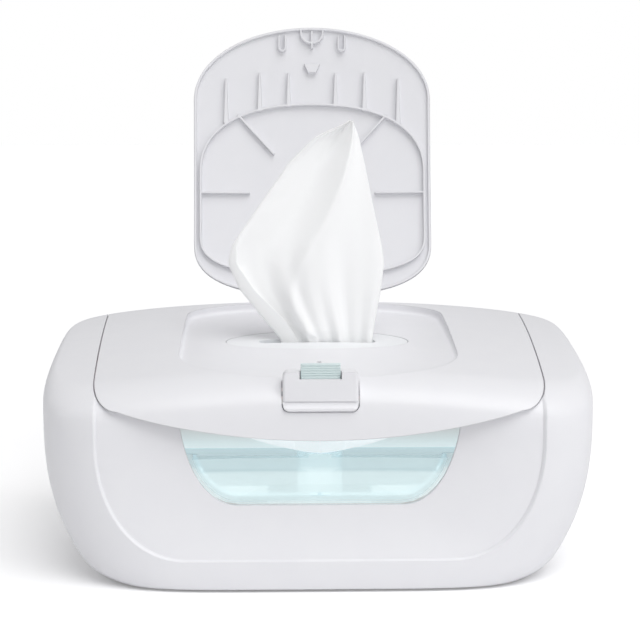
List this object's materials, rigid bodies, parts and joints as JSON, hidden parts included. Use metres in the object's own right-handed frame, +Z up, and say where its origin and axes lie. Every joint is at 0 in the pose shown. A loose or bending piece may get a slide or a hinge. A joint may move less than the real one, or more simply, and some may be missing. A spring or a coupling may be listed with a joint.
{
  "type": "wipe warmer",
  "caption": "White wipe warmer with a hinged main lid, a flip lid open over its slot, a push button latch, a window in the front and one wipe drawn up.",
  "frame": {"origin": "under the middle of the whole object, on the surface that it stands on", "axes": "+X to the right seen from the front, +Y to the back, +Z up; the window and the latch face -Y"},
  "size_m": [0.304, 0.2452, 0.2987],
  "materials": {
    "white_shell": "glossy white ABS",
    "white_inner": "satin white polypropylene",
    "clear_pane": "clear polished polycarbonate",
    "aqua_clear": "translucent pale aqua polypropylene",
    "aqua_button": "glossy pale aqua ABS",
    "silicone": "soft translucent white silicone",
    "aluminium": "plain rolled sheet",
    "heater_film": "amber heating film",
    "felt": "undyed needled felt",
    "black_plastic": "fine moulded texture",
    "board": "green resist",
    "steel": "bright drawn wire and rod",
    "foot_rubber": "matt grey rubber",
    "wipe_cloth": "damp white non-woven sheet"
  },
  "bodies": {
    "base": {"outer_housing": "white_shell", "window_pane": "clear_pane", "inner_tub": "white_inner", "wipe_tray": "aqua_clear", "lid_catch": "white_shell", "heater_plate": "aluminium", "heating_pad": "heater_film", "insulation_felt": "felt", "thermostat": "black_plastic", "circuit_board": "board", "power_jack": "black_plastic", "base_plate": "white_inner", "base_screw_front_left": "steel", "base_screw_back_left": "steel", "base_screw_front_right": "steel", "base_screw_back_right": "steel", "rubber_foot_front_left": "foot_rubber", "rubber_foot_back_left": "foot_rubber", "rubber_foot_front_right": "foot_rubber", "rubber_foot_back_right": "foot_rubber", "main_hinge_pin_left": "steel", "main_hinge_pin_right": "steel"},
    "main_lid": {"main_lid": "white_shell", "lid_liner": "white_inner", "lid_seal": "silicone", "dispensing_insert": "silicone", "flip_hinge_pin": "steel", "flip_spring": "steel", "wipe": "wipe_cloth"},
    "flip_lid": {"flip_lid": "white_shell"},
    "latch": {"latch_tab": "white_shell", "button_spring": "steel"},
    "button": {"release_button": "aqua_button"}
  },
  "joints": [
    {"name": "main_lid_hinge", "type": "hinge", "parent": "base", "child": "main_lid", "pos_m": [0, 0.08008, 0.108], "axis": [-1, 0, 0], "range_deg": [0, 95]},
    {"name": "flip_lid_hinge", "type": "hinge", "parent": "main_lid", "child": "flip_lid", "pos_m": [0, 0.07358, 0.1215], "axis": [1, 0, 0], "range_deg": [0, 106], "deforming": ["wipe"]},
    {"name": "latch_tab_hinge", "type": "hinge", "parent": "main_lid", "child": "latch", "pos_m": [0, -0.11372, 0.1065], "axis": [-1, 0, 0], "range_deg": [0, 5], "stiffness_Nm_per_rad": 0.05},
    {"name": "release_button_slide", "type": "slide", "parent": "latch", "child": "button", "axis": [0, 0, -1], "range_m": [0, 0.0025], "stiffness_N_per_m": 400, "deforming": ["button_spring"]}
  ]
}
